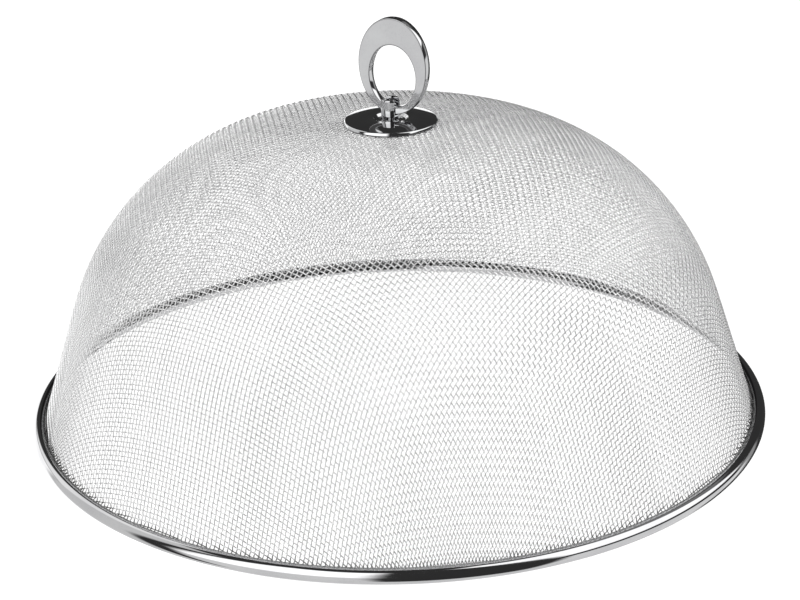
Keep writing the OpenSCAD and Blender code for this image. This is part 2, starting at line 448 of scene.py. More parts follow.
@dataclass(frozen=True)
class MetalFinish:
    """A bare or plated metal: colour, gloss, buffing lines, handling haze and painted edge shade.

    The two greys are mixed by the haze, or by a random tone of each wire's own. Along the
    edges that a piece marks, a painted shade stands in for shade and dark reflections. Faces
    named by the mirrored attribute are painted dark where other metal reflects them: a painted
    shade that only glossy rays see.
    """

    name: str
    tone: Tone
    gloss: Gloss
    patch_scale: float = 60.0
    line_strength: float = 0.02
    line_depth: float = 0.00001
    own: str = ""
    edge: str = ""
    painted_shade: PaintedShade = PaintedShade.RING
    mirrored: str = ""
    mirrored_colour: tuple[float, float, float] = (0.04, 0.04, 0.04)

    def material(self, groups: EffectGroups) -> bpy.types.Material:
        """Builds the finish.

        Args:
            groups: The shared effects.

        Returns:
            A material whose gloss follows the haze, with buffing lines as fine bumps.
        """
        made = bpy.data.materials.new(self.name)
        tree = Tree.of(made)
        (light, dark), (low, high) = self.tone.value, self.gloss.value
        inputs = {"Patch Scale": self.patch_scale, "Low": low, "High": high}
        haze = tree.add("Group", inputs, node_tree=groups.haze).outputs
        share = tree.attribute(self.own) if self.own else haze["Mask"]
        colour = tree.mix(share, (*light, 1.0), (*dark, 1.0))
        # Painted shade: the edge attribute mixes in a dark colour that stands in for shade and dark
        # reflections.
        if self.edge:
            colour = tree.mix(tree.attribute(self.edge), colour, (*self.painted_shade.value, 1.0))
        # Painted shade seen only in reflections: glossy rays find the marked faces dark.
        if self.mirrored:
            seen = tree.add("LightPath").outputs["Is Glossy Ray"]
            seen = tree.math("MULTIPLY", tree.attribute(self.mirrored), seen)
            colour = tree.mix(seen, colour, (*self.mirrored_colour, 1.0))
        inputs = {"Base Color": colour, "Metallic": 1.0, "Roughness": haze["Roughness"]}
        if self.line_strength:
            height = tree.add("Group", node_tree=groups.lines).outputs["Height"]
            bump = {"Height": height, "Strength": self.line_strength, "Distance": self.line_depth}
            inputs["Normal"] = tree.add("Bump", bump).outputs[0]
        shader = tree.add("BsdfPrincipled", inputs)
        tree.add("OutputMaterial", {"Surface": shader.outputs[0]})
        return made


@dataclass
class RolledRim:
    """The sheet rolled into a bead round a stiffening wire, open inwards where the hem goes in."""

    rim_d: float = 300.0
    bead_d: float = 6.0
    sheet: float = 0.6
    flat: float = 0.15
    core_wire_d: float = 3.2
    core_gap: float = 0.15
    lip_gap: float = 0.3
    cloth_t: float = 0.84
    lip_edge: float = 0.125
    arc_points: int = 72
    hidden_points: int = 14
    lip_points: int = 7
    lip_shade_points: int = 6
    edge: str = "edge_shade"
    around: int = 320

    def __post_init__(self) -> None:
        """Works out the bead's middle, the hem's levels and the lips from the driving sizes."""
        self.bead_r = self.bead_d / 2
        self.mid_r = self.rim_d / 2 - self.bead_r
        self.mid_z = self.bead_r - self.flat
        hollow = self.bead_r - self.sheet
        self.hem_bottom = self.mid_z - hollow + 2 * self.core_gap + self.core_wire_d
        self.hem_top = self.hem_bottom + self.cloth_t
        self.slot_top = self.hem_top + self.lip_gap
        self.slot_bottom = self.hem_bottom - self.core_gap
        rise = self.slot_top - self.mid_z
        self.lip_r = self.mid_r - math.sqrt(self.bead_r**2 - rise**2)

    def outline(self) -> Array:
        """Section of the bead.

        The outer face is an arc from the lower lip round the outside to the upper lip, pressed
        flat where it meets the floor. The upper lip ends in a small round edge and is level over
        the slot, and the lower lip ends in a half circle. The inner face is the same arc less the
        sheet.

        Returns:
            Distance from the axis and height of each point.
        """
        half, e = self.sheet / 2, self.lip_edge
        lip_line, hollow = self.bead_r - half, self.bead_r - self.sheet
        rise, drop = self.slot_top - self.mid_z, self.slot_bottom - half - self.mid_z
        upper = math.pi - math.asin((rise + 2 * e) / self.bead_r)
        below = math.pi - math.asin(rise / hollow)
        lower = -math.pi - math.asin(drop / lip_line)
        outer = self.bead_r * circle(steps(lower, upper, self.arc_points))
        edge = circle(steps(upper, 3 * QUARTER, self.lip_points)) - circle(np.array([upper]))
        edge = outer[-1] + e * edge
        inner = hollow * circle(steps(below, lower, self.hidden_points))
        swing = lower + math.pi + steps(0.0, math.pi, self.lip_points + 2)[1:-1]
        end = lip_line * circle(np.array([lower])) + half * circle(swing)
        middle = np.array([self.mid_r, self.mid_z])
        section = np.concatenate([outer, edge[1:], inner, end]) + middle
        section[:, 1] = np.maximum(section[:, 1], 0.0)
        return section

    def build(self) -> list[Piece]:
        """Makes the rim's band, with painted shade along the upper lip's edge.

        Returns:
            The piece.
        """
        outline = self.outline()
        shell = turned_shell(outline, self.around)
        piece = add_piece("rolled_rim", *shell, Slot.RIM, "rim_band")
        # Painted shade: the upper lip's rounded edge and the last points of the outer arc before it
        # are painted dark.
        row = np.arange(len(outline))
        lip = (row >= self.arc_points - self.lip_shade_points) & (
            row < self.arc_points + self.lip_points
        )
        add_shade(piece, self.edge, np.repeat(lip, self.around))
        return [piece]


@dataclass
class WireCloth:
    """The woven wire dome, as wires that cross at one pitch along both of them everywhere."""

    rim: RolledRim
    dome_h: float = 121.8
    crown_r: float = 500.0
    shoulder_r: float = 103.0
    wall_slant: float = 18.0
    wire_d: float = 0.42
    hem_bend_r: float = 0.8
    hem_reach: float = 0.8
    pitch: float = 1.82
    weave_turn: float = -9.75
    stud_hole_r: float = 2.65
    bend_share: float = 0.07
    spare_pitches: float = 3.0
    newton_steps: int = 6
    least_bends: int = 3
    sides: int = 6
    groups: int = 6
    seed: int = 7
    # Painted shade on the wires near the hem: where it starts above the wall's foot, and over what
    # length it deepens.
    hem_shade_from: float = 0.7
    hem_shade_run: float = 0.6
    shade: str = "wire_shade"
    hem: str = "hem_shade"

    def __post_init__(self) -> None:
        """Works out the arcs of the cloth's middle layer, from the crown's top to the hem's end."""
        self.wall_turn = math.radians(90.0 - self.wall_slant)
        wall_out = np.array([math.sin(self.wall_turn), math.cos(self.wall_turn)])
        wall_up = np.array([-wall_out[1], wall_out[0]])
        self.bend_mid = np.array([self.rim.lip_r, self.rim.hem_top + self.hem_bend_r])
        foot = self.bend_mid - self.hem_bend_r * wall_out
        crown_mid = np.array([0.0, self.dome_h - self.crown_r])
        start = foot - self.shoulder_r * wall_out - crown_mid
        along = float(start @ wall_up)
        reach = along**2 - start @ start + (self.crown_r - self.shoulder_r) ** 2
        run = math.sqrt(reach) - along
        head = foot + run * wall_up
        self.shoulder_mid = head - self.shoulder_r * wall_out
        self.crown_mid = crown_mid
        self.crown_turn = math.atan2(*(self.shoulder_mid - crown_mid))
        self.mid_crown_r = self.crown_r - self.wire_d
        self.mid_shoulder_r = self.shoulder_r - self.wire_d
        self.mid_bend_r = self.hem_bend_r + self.wire_d
        self.wall_head = head - self.wire_d * wall_out
        lengths = (
            self.mid_crown_r * self.crown_turn,
            self.mid_shoulder_r * (self.wall_turn - self.crown_turn),
            run,
            self.mid_bend_r * self.wall_turn,
            self.rim.mid_r + self.hem_reach - self.rim.lip_r,
        )
        self.marks = np.cumsum(lengths)

    def meridian(self, s: Array, hemmed: bool = True) -> tuple[Array, Array, Array]:
        """Where the cloth's middle layer is, at a distance s along it from the crown's top.

        The crown and the shoulder are arcs, the wall is straight, and the hem is an arc the other
        way and a flat end.

        Args:
            s: Distances along the layer.
            hemmed: Whether the hem is followed, or the wall runs on straight.

        Returns:
            Distance from the axis, height, and the turn of the outward normal from straight up.
        """
        crown, shoulder, wall, bend, _ = self.marks
        a = s / self.mid_crown_r
        b = self.crown_turn + (s - crown) / self.mid_shoulder_r
        c = np.full_like(s, self.wall_turn)
        d = self.wall_turn - (s - wall) / self.mid_bend_r
        past = s - shoulder
        r = [
            self.mid_crown_r * np.sin(a),
            self.shoulder_mid[0] + self.mid_shoulder_r * np.sin(b),
            self.wall_head[0] + past * math.cos(self.wall_turn),
            self.bend_mid[0] - self.mid_bend_r * np.sin(d),
            self.bend_mid[0] + s - bend,
        ]
        z = [
            self.crown_mid[1] + self.mid_crown_r * np.cos(a),
            self.shoulder_mid[1] + self.mid_shoulder_r * np.cos(b),
            self.wall_head[1] - past * math.sin(self.wall_turn),
            self.bend_mid[1] - self.mid_bend_r * np.cos(d),
            np.full_like(s, self.bend_mid[1] - self.mid_bend_r),
        ]
        turn = [a, b, c, d, np.zeros_like(s)]
        last = wall if hemmed else np.inf
        where = [s <= crown, s <= shoulder, s <= last, s <= bend]
        return tuple(np.select(where, parts[:-1], parts[-1]) for parts in (r, z, turn))

    def quarter_net(self) -> tuple[Array, Array]:
        """Finds the crossings in a quarter of the cloth.

        The first wires of both families run straight down from the crown, at a right angle. Every
        other crossing lies on the dome, one pitch from the crossing before it on each of its two
        wires. Crossings whose two numbers have the same sum are found together, by Newton steps
        on the two distances.

        Returns:
            Distance along the dome and angle of each crossing, not a number past the hem.
        """
        end = self.marks[-1] + self.spare_pitches * self.pitch
        count = int(end / self.pitch) + 1
        s = np.full((count + 1, count + 1), np.nan)
        t = np.full_like(s, np.nan)
        s[:, 0] = s[0, :] = np.arange(count + 1) * self.pitch
        t[:, 0], t[0, :] = 0.0, QUARTER
        for level in range(2, 2 * count + 1):
            i = np.arange(max(1, level - count), min(count, level - 1) + 1)
            j = level - i
            before = ((i - 1, j), (i, j - 1))
            pair = tuple(self.place(s[spot], t[spot]) for spot in before)
            behind = self.place(s[i - 1, j - 1], t[i - 1, j - 1])
            guess = pair[0] + pair[1] - behind
            at_s = s[before[0]] + s[before[1]] - s[i - 1, j - 1]
            at_t = np.arctan2(guess[:, 1], guess[:, 0])
            for _ in range(self.newton_steps):
                at_s, at_t = self.newton(at_s, at_t, pair)
            keep = at_s < end
            s[i, j] = np.where(keep, at_s, np.nan)
            t[i, j] = np.where(keep, at_t, np.nan)
        return s, t

    def place(self, s: Array, t: Array) -> Array:
        """Points of the middle layer at distance s and angle t, with the wall run on straight."""
        r, z, _ = self.meridian(s, hemmed=False)
        return np.stack([r * np.cos(t), r * np.sin(t), z], axis=-1)

    def newton(self, s: Array, t: Array, pair: tuple[Array, Array]) -> tuple[Array, Array]:
        """One step that brings each point to one pitch from both points of its pair.

        Args:
            s: Distances along the dome.
            t: Angles round the axis.
            pair: The two points that each one has to be a pitch away from.

        Returns:
            Better distances and angles.
        """
        r, z, turn = self.meridian(s, hemmed=False)
        cos_t, sin_t, cos_n = np.cos(t), np.sin(t), np.cos(turn)
        point = np.stack([r * cos_t, r * sin_t, z], axis=-1)
        by_s = np.stack([cos_n * cos_t, cos_n * sin_t, -np.sin(turn)], axis=-1)
        by_t = np.stack([-r * sin_t, r * cos_t, np.zeros_like(r)], axis=-1)
        arm = [point - other for other in pair]
        miss = [np.einsum("ij,ij->i", a, a) - self.pitch**2 for a in arm]
        slope_s = [2.0 * np.einsum("ij,ij->i", a, by_s) for a in arm]
        slope_t = [2.0 * np.einsum("ij,ij->i", a, by_t) for a in arm]
        whole = slope_s[0] * slope_t[1] - slope_t[0] * slope_s[1]
        step_s = (miss[0] * slope_t[1] - slope_t[0] * miss[1]) / whole
        step_t = (slope_s[0] * miss[1] - miss[0] * slope_s[1]) / whole
        return s - step_s, t - step_t

    def whole_net(self) -> tuple[Array, Array]:
        """All crossings of the cloth, from the quarter and its three mirror images.

        Returns:
            Distance along the dome and angle, with both families counted from the middle wires.
        """
        s, t = self.quarter_net()
        count = len(s) - 1
        number = np.arange(-count, count + 1)
        i, j = np.meshgrid(number, number, indexing="ij")
        angle = t[np.abs(i), np.abs(j)]
        angle = np.arctan2(np.sign(j) * np.sin(angle), np.sign(i) * np.cos(angle))
        return s[np.abs(i), np.abs(j)], angle + math.radians(self.weave_turn)

    def bent(self, s: Array, t: Array, first: int) -> Array:
        """Bends a wire over and under the wires that it crosses.

        It is flat for a share of the pitch to each side of a crossing, and runs straight from
        there to the next one, on whose other side it lies.

        Args:
            s: Distances along the dome at the wire's crossings.
            t: Angles round the axis there.
            first: 1 if the wire is on the outside at the first crossing, or -1.

        Returns:
            Distance along the dome, angle and offset from the middle layer, one bend a line.
        """
        share = np.array([self.bend_share, 1.0 - self.bend_share])
        flat = (s, s * np.cos(t), s * np.sin(t))
        along, x, y = (v[:-1, None] * (1.0 - share) + v[1:, None] * share for v in flat)
        side = first * self.wire_d / 2 * (-1.0) ** np.arange(len(s))
        offset = np.stack([side[:-1], side[1:]], axis=1)
        return np.stack([along, np.arctan2(y, x), offset], axis=-1).reshape(-1, 3)

    def cut_end(self, near: Array, far: Array) -> Array:
        """Cuts the straight line from a bend to one past the hem, where it reaches the hem's end.

        Args:
            near: Distance, angle and offset of the last bend before the end.
            far: The same of the first bend past it.

        Returns:
            The same of the cut, as a table of one line.
        """
        step = far - near
        share = (self.marks[-1] - near[0]) / step[0]
        step[1] = math.remainder(step[1], TURN)
        return (near + share * step)[None]

    def runs(self, bends: Array) -> list[Array]:
        """Cuts a wire to the lengths that lie between the stud's hole and the end of the hem.

        Args:
            bends: Distance, angle and offset of each bend.

        Returns:
            The bends of each length.
        """
        end = self.marks[-1]
        with np.errstate(invalid="ignore"):
            inside = (bends[:, 0] <= end) & (bends[:, 0] >= self.stud_hole_r)
        edges = np.flatnonzero(np.diff(np.concatenate([[0], inside.astype(int), [0]])))
        found = []
        for first, past in zip(edges[::2], edges[1::2]):
            if past - first < self.least_bends:
                continue
            cut = [bends[first:past]]
            if first > 0 and bends[first - 1, 0] > end:
                cut.insert(0, self.cut_end(bends[first], bends[first - 1]))
            if past < len(bends) and bends[past, 0] > end:
                cut.append(self.cut_end(bends[past - 1], bends[past]))
            found.append(np.concatenate(cut))
        return found

    def tube(self, s: Array, t: Array, wave: Array) -> tuple[Array, Faces, Array]:
        """A round wire along the dome, waved over and under the wires that it crosses.

        The wire's middle is the dome's middle layer moved along its normal by the wave. Each ring
        of points turns about the wire's own direction, in the plane of the normal and the
        sideways direction. Fault left in: the faces at the wire's two ends point inwards.

        Args:
            s: Distances along the dome.
            t: Angles round the axis.
            wave: How far the wire's middle stands off the dome's middle layer.

        Returns:
            Points and faces of the closed wire, and each point's share of painted hem shade.
        """
        r, z, turn = self.meridian(s)
        outwards = np.stack([np.cos(t), np.sin(t), np.zeros_like(t)], axis=1)
        up = np.array([0.0, 0.0, 1.0])
        normal = outwards * np.sin(turn)[:, None] + up * np.cos(turn)[:, None]
        middle = outwards * r[:, None] + up * z[:, None] + normal * wave[:, None]
        along = unit(np.gradient(middle, axis=0))
        side = unit(np.cross(along, normal))
        rise = np.cross(side, along)
        angle = np.arange(self.sides) * (TURN / self.sides)
        cos_a, sin_a = np.cos(angle)[None, :, None], np.sin(angle)[None, :, None]
        ring = cos_a * rise[:, None] + sin_a * side[:, None]
        points = (middle[:, None] + self.wire_d / 2 * ring).reshape(-1, 3)
        faces = grid_faces(len(s), self.sides, False, True)
        half = np.arange(self.sides // 2 - 1)
        fan = np.stack([np.zeros_like(half), 2 * half + 1, 2 * half + 2, 2 * half + 3], axis=1)
        last = len(points) - self.sides
        # Painted shade: the wires darken from just above the wall's foot, where the hem goes into
        # the rim's dark slot.
        painted_hem_shade = np.clip((s - self.marks[2] + self.hem_shade_from) / self.hem_shade_run, 0.0, 1.0)
        faces = np.concatenate([faces, fan, last + fan[:, ::-1]]).astype(np.int32)
        return points, faces, np.repeat(painted_hem_shade, self.sides)

    def wires(self, family: Family) -> list[tuple[Array, Faces, Array]]:
        """All wires of one family.

        Args:
            family: Which of the two sets of wires.

        Returns:
            Points, faces and painted hem shade of each length of wire, in order across the cloth.
        """
        s, t = self.whole_net()
        if family is Family.WEFT:
            s, t = s.T, t.T
        made = []
        for column in range(len(s)):
            first = family.value * (-1) ** (column + len(s))
            cuts = self.runs(self.bent(s[:, column], t[:, column], first))
            made += [self.tube(*cut.T) for cut in cuts]
        return made

    def crease(self, mesh: bpy.types.Mesh) -> None:
        """Marks the rings of edges at the bends as sharp, so that each run keeps its slope.

        Args:
            mesh: A mesh of wires.
        """
        ends = np.empty(2 * len(mesh.edges), dtype=np.int32)
        mesh.edges.foreach_get("vertices", ends)
        ring = (ends // self.sides).reshape(-1, 2)
        sharp = mesh.attributes.new("sharp_edge", "BOOLEAN", "EDGE")
        sharp.data.foreach_set("value", ring[:, 0] == ring[:, 1])

    def build(self) -> list[Piece]:
        """Makes the wires of both families, in groups of neighbours.

        Returns:
            The pieces.
        """
        pieces = []
        draw = np.random.default_rng(self.seed)
        for family in Family:
            made = self.wires(family)
            sizes = np.cumsum([len(faces) for _, faces, _ in made])
            group = np.minimum((sizes - 1) * self.groups // sizes[-1], self.groups - 1)
            for number in range(self.groups):
                chosen = [made[k] for k in np.flatnonzero(group == number)]
                points, faces, painted_hem_shade = zip(*chosen)
                starts = np.cumsum([0] + [len(part) for part in points])
                faces = np.concatenate([part + start for part, start in zip(faces, starts)])
                name = f"{family.name.lower()}_wires_{number + 1}"
                piece = add_piece(name, np.concatenate(points), faces, Slot.WIRE, "mesh_dome")
                shade = np.repeat(draw.random(len(chosen)), np.diff(starts))
                add_shade(piece, self.shade, shade)
                add_shade(piece, self.hem, np.concatenate(painted_hem_shade))
                self.crease(piece.data)
                pieces.append(piece)
        return pieces


@dataclass
class HandleBase:
    """The pressed base: slanted lip, sloping top, crest, and the dish that the post stands in."""

    cloth: WireCloth
    base_d: float = 37.6
    base_h: float = 2.85
    sheet: float = 1.0
    crest_d: float = 19.0
    well_d: float = 13.6
    floor_d: float = 11.6
    seat_gap: float = 0.1
    top_slope: float = 8.5
    dish_slope: float = 7.5
    lip_slant: float = 18.0
    crest_round: float = 1.5
    edge_round: float = 0.5
    well_round: float = 0.4
    hole_round: float = 0.05
    corner_points: int = 11
    spacing: float = 0.5
    around: int = 128
    edge: str = "edge_shade"

    @property
    def floor_top(self) -> float:
        """Height of the well's floor."""
        return self.cloth.dome_h + self.seat_gap + self.sheet

    def corners(self) -> Array:
        """Corners of the top face, from the stud's hole out to the foot of the lip.

        The top falls from the crest outwards along a straight line, until it meets the line of
        the lip, which leans in from the foot. With a fall of m and a lean of n for each unit of
        width and height, the two meet at the height (h - m w) / (1 - m n) above the foot, where h
        and w are the crest's height and its distance from the foot.

        Returns:
            Distance from the axis and height of each corner.
        """
        base_r, crest_r, well_r = self.base_d / 2, self.crest_d / 2, self.well_d / 2
        dome = self.cloth.crown_mid[1] + math.sqrt(self.cloth.crown_r**2 - base_r**2)
        bottom = dome + self.seat_gap
        crest = bottom + self.base_h
        slopes = (self.top_slope, self.dish_slope, self.lip_slant)
        fall, dip, lean = (math.tan(math.radians(v)) for v in slopes)
        edge = (self.base_h - fall * (base_r - crest_r)) / (1.0 - fall * lean)
        return np.array(
            [
                [self.cloth.stud_hole_r, self.floor_top],
                [self.floor_d / 2, self.floor_top],
                [well_r, crest - dip * (crest_r - well_r)],
                [crest_r, crest],
                [base_r - lean * edge, bottom + edge],
                [base_r, bottom],
            ]
        )

    def outline(self) -> Array:
        """Section of the base: the top face with rounded corners, and the same one sheet lower.

        The straight fall from the crest to the lip is bulged by the fall times (q - q squared),
        where q is the share of the way, so that it starts level and ends twice as steep.

        Returns:
            Distance from the axis and height of each point.
        """
        top = self.corners()
        under = top - np.array([0.0, self.sheet])
        under[-2] -= np.array([self.sheet, 0.0])
        under[-1] = top[-1] - np.array([self.sheet, 0.0])
        w, c, e, h = self.well_round, self.crest_round, self.edge_round, self.hole_round
        radii = np.array([h, w, w, c, e, e, h, w, c, w, w, h])
        outline = rounded(np.concatenate([top, under[::-1]]), radii, self.corner_points)
        outline = refined(outline, self.spacing)
        crest, lip = top[3], top[4]
        share = np.clip((outline[:, 0] - crest[0]) / (lip[0] - crest[0]), 0.0, 1.0)
        outline[:, 1] += (crest[1] - lip[1]) * (share - share**2)
        return outline

    def build(self) -> list[Piece]:
        """Makes the base, with a painted shadow line round the foot of its lip.

        Returns:
            The piece.
        """
        outline = self.outline()
        shell = turned_shell(outline, self.around)
        piece = add_piece("pressed_base", *shell, Slot.BASE, "handle_base")
        r, z = outline.T
        # Painted shadow: a dark line round the foot of the lip.
        foot = (z < z.min() + self.edge_round) & (r > self.base_d / 2 - self.sheet)
        add_shade(piece, self.edge, np.repeat(foot, self.around))
        return [piece]


@dataclass
class HandlePost:
    """The turned post with two cheeks that hold the ring, and the stud under it.

    The runs are short rows beside an edge that keep the faces next to it flat.
    """

    base: HandleBase
    post_d: float = 7.6
    post_h: float = 8.8
    slot_floor_h: float = 2.7
    slot_w: float = 4.0
    stud_d: float = 5.0
    stud_end: float = 113.816
    stud_tip: float = 0.4
    foot_edge: float = 0.1
    foot_run: float = 0.4
    top_run: float = 0.2
    cheek_run: float = 0.02
    edge_round: float = 0.3
    corner_round: float = 0.3
    corner_share: float = 0.45
    lid_insets: tuple[float, float] = (0.6, 1.0)
    around: int = 96
    arc_points: int = 40
    corner_points: int = 8
    line_points: int = 13
    edge_points: int = 9
    side_rows: int = 5

    def shaft(self) -> Piece:
        """Makes the post below its slot, and the stud.

        The section is carried round the axis, and each end is closed round a middle point. The
        lid has points of its own, so that the edge round it stays sharp.

        Returns:
            The piece.
        """
        floor, n = self.base.floor_top, self.around
        top = floor + self.slot_floor_h
        r, stud, tip = self.post_d / 2, self.stud_d / 2, self.stud_tip
        sides = [
            [stud - tip, self.stud_end],
            [stud, self.stud_end + tip],
            [stud, floor - tip],
            [stud, floor],
            [r - self.foot_edge, floor],
            [r, floor + self.foot_edge],
            [r, floor + self.foot_run],
            [r, top - self.top_run],
            [r, top],
        ]
        lid = [[r, top], [r - self.top_run, top]]
        section = np.array(sides + lid)
        ends = np.array([[0.0, 0.0, self.stud_end], [0.0, 0.0, top]])
        points = np.concatenate([turned(section, n), ends])
        side_faces = grid_faces(len(sides), n, False, True)
        lid_faces = grid_faces(len(lid), n, False, True) + len(sides) * n
        faces = np.concatenate([side_faces, lid_faces, end_caps(len(section), n)])
        return add_piece("post_shaft", points, faces, Slot.POST, "handle_post")

    def cheek(self, name: str, way: int) -> Piece:
        """Makes one cheek of the slot.

        Its section is an arc of the post and a straight side along the slot, with rounded
        corners. Near the top the section draws in along a quarter circle.

        Faults left in: the last inset is more than half the cheek's depth, so its row isn't
        finite. Mesh.validate sets it to zero, and outward() can't tell the rear cheek's sides.
        The loop is odd, so its caps have a stray face.

        Args:
            name: The piece's name.
            way: 1 for the cheek on the +Y side, or -1.

        Returns:
            The piece.
        """
        bottom = self.base.floor_top + self.slot_floor_h
        top = self.base.floor_top + self.post_h
        lean, e = steps(0.0, QUARTER, self.edge_points)[1:], self.edge_round
        side = steps(bottom + self.cheek_run, top - e, self.side_rows)
        upright = np.zeros(1 + self.side_rows)
        inset = np.concatenate([upright, e * (1.0 - np.cos(lean)), self.lid_insets])
        level = np.concatenate([[bottom], side, top - e * (1.0 - np.sin(lean)), [top, top]])
        r = self.post_d / 2 - inset[:, None]
        chord = self.slot_w / 2 + inset[:, None]
        corner = np.minimum(self.corner_round, self.corner_share * (r - chord))
        corner_x, corner_y = np.sqrt((r - corner) ** 2 - (chord + corner) ** 2), chord + corner
        turn = np.arctan2(corner_y, corner_x)
        arc = turn + (math.pi - 2.0 * turn) * steps(0.0, 1.0, self.arc_points)[None, :]
        bend = steps(0.0, 1.0, self.corner_points)[None, 1:]
        left = math.pi - turn + (QUARTER + turn) * bend
        right = -QUARTER + (turn + QUARTER) * bend[:, :-1]
        line = steps(-1.0, 1.0, self.line_points)[None, 1:]
        spots = [np.stack([k * corner_x, corner_y], axis=-1) for k in (-1, 1)]
        parts = [
            r[..., None] * circle(arc),
            spots[0] + corner[..., None] * circle(left),
            np.stack(np.broadcast_arrays(corner_x * line, chord), axis=-1),
            spots[1] + corner[..., None] * circle(right),
        ]
        x, y = np.moveaxis(np.concatenate(parts, axis=1), -1, 0)
        rows, loop = x.shape
        z = np.broadcast_to(level[:, None], x.shape)
        ends = np.stack([x.mean(axis=1), y.mean(axis=1), level], axis=1)[[0, -1]]
        points = np.concatenate([np.stack([x, y, z], axis=-1).reshape(-1, 3), ends])
        points[:, 1] *= way
        faces = np.concatenate([grid_faces(rows, loop, False, True), end_caps(rows, loop)])
        return add_piece(name, points, outward(points, faces), Slot.POST, "handle_post")

    def build(self) -> list[Piece]:
        """Makes the shaft and both cheeks."""
        return [self.shaft(), self.cheek("rear_cheek", 1), self.cheek("front_cheek", -1)]


@dataclass
class HandleRing:
    """The flat oval ring with its finger hole set low."""

    post: HandlePost
    ring_w: float = 29.8
    ring_h: float = 38.8
    ring_t: float = 3.8
    shift: float = 2.0
    hole_w: float = 19.9
    hole_h: float = 24.7
    foot: float = 3.0
    seat_gap: float = 0.1
    edge_round: float = 0.25
    edge_crown: float = 0.26
    around: int = 192
    corner_points: int = 7
    flat_points: int = 3
    crowned_points: int = 9
    first_share: float = 0.04
    edge: str = "edge_shade"
    face: str = "face_shade"

    def build(self) -> list[Piece]:
        """Makes the ring.

        At each angle the section runs from the oval of the hole to the outer oval. It is a
        rectangle as thick as the plate, with rounded corners and extra points beside them that
        keep the faces flat. Its width falls with the square of the distance from the plate's
        middle, so that the edges are crowned. The corners carry a painted dark outline, standing
        in for a dark reflection, and the flat faces a painted shade that only reflections show.

        Returns:
            The piece.
        """
        bottom = self.post.base.floor_top + self.post.slot_floor_h + self.seat_gap
        way = circle(np.arange(self.around) * (TURN / self.around))
        outer = way * np.array([self.ring_w, self.ring_h]) / 2
        outer = outer + np.array([self.shift, bottom + self.ring_h / 2])
        inner = way * np.array([self.hole_w, self.hole_h]) / 2
        inner = inner + np.array([self.shift, bottom + self.foot + self.hole_h / 2])
        width = np.linalg.norm(outer - inner, axis=1)[:, None]
        across, middle = (outer - inner) / width, (outer + inner) / 2
        e = self.edge_round
        quarter = steps(0.0, QUARTER, self.corner_points)
        ends = (self.first_share, 1.0 - self.first_share)
        flat, crowned = steps(*ends, self.flat_points), steps(*ends, self.crowned_points)
        half_w, half_t = width / 2 - e, self.ring_t / 2 - e
        u, v, shade, plane = [], [], [], []
        for turn, (side_u, side_v) in enumerate(((1, 1), (-1, 1), (-1, -1), (1, -1))):
            arc = quarter + turn * QUARTER
            u.append(side_u * half_w + e * np.cos(arc)[None, :])
            v.append(side_v * half_t + e * np.sin(arc))
            on_face = turn in (0, 2)
            if on_face:
                u.append(side_u * half_w * (1.0 - 2.0 * flat)[None, :])
                v.append(np.full(len(flat), side_v * self.ring_t / 2))
            else:
                u.append(np.broadcast_to(side_u * (half_w + e), (self.around, len(crowned))))
                v.append(side_v * half_t * (1.0 - 2.0 * crowned))
            count = len(v[-1])
            # Painted shade: the corner arcs get the dark outline, and the flat faces the shade seen
            # only in reflections.
            shade += [np.ones(len(arc)), np.zeros(count)]
            plane += [np.zeros(len(arc)), np.full(count, float(on_face))]
        u = np.concatenate(u, axis=1)
        v = np.broadcast_to(np.concatenate(v), u.shape)
        crown = self.edge_crown * (2.0 * v / self.ring_t) ** 2
        u = u - np.sign(u) * crown * np.abs(2.0 * u / width)
        x, z = (middle[:, k, None] + across[:, k, None] * u for k in (0, 1))
        points = np.stack([x, v, z], axis=-1).reshape(-1, 3)
        faces = outward(points, grid_faces(self.around, u.shape[1], True, True))
        piece = add_piece("oval_ring", points, faces, Slot.RING, "handle_ring")
        add_shade(piece, self.edge, np.tile(np.concatenate(shade), self.around))
        add_shade(piece, self.face, np.tile(np.concatenate(plane), self.around))
        return [piece]


@dataclass(frozen=True)
class SoftPanel:
    """A soft white panel of the studio, by the angles that it spans as seen from the cover."""

    name: str
    azimuth: float
    half_width: float
    low: float
    high: float
    strength: float
    soft: float = 4.0


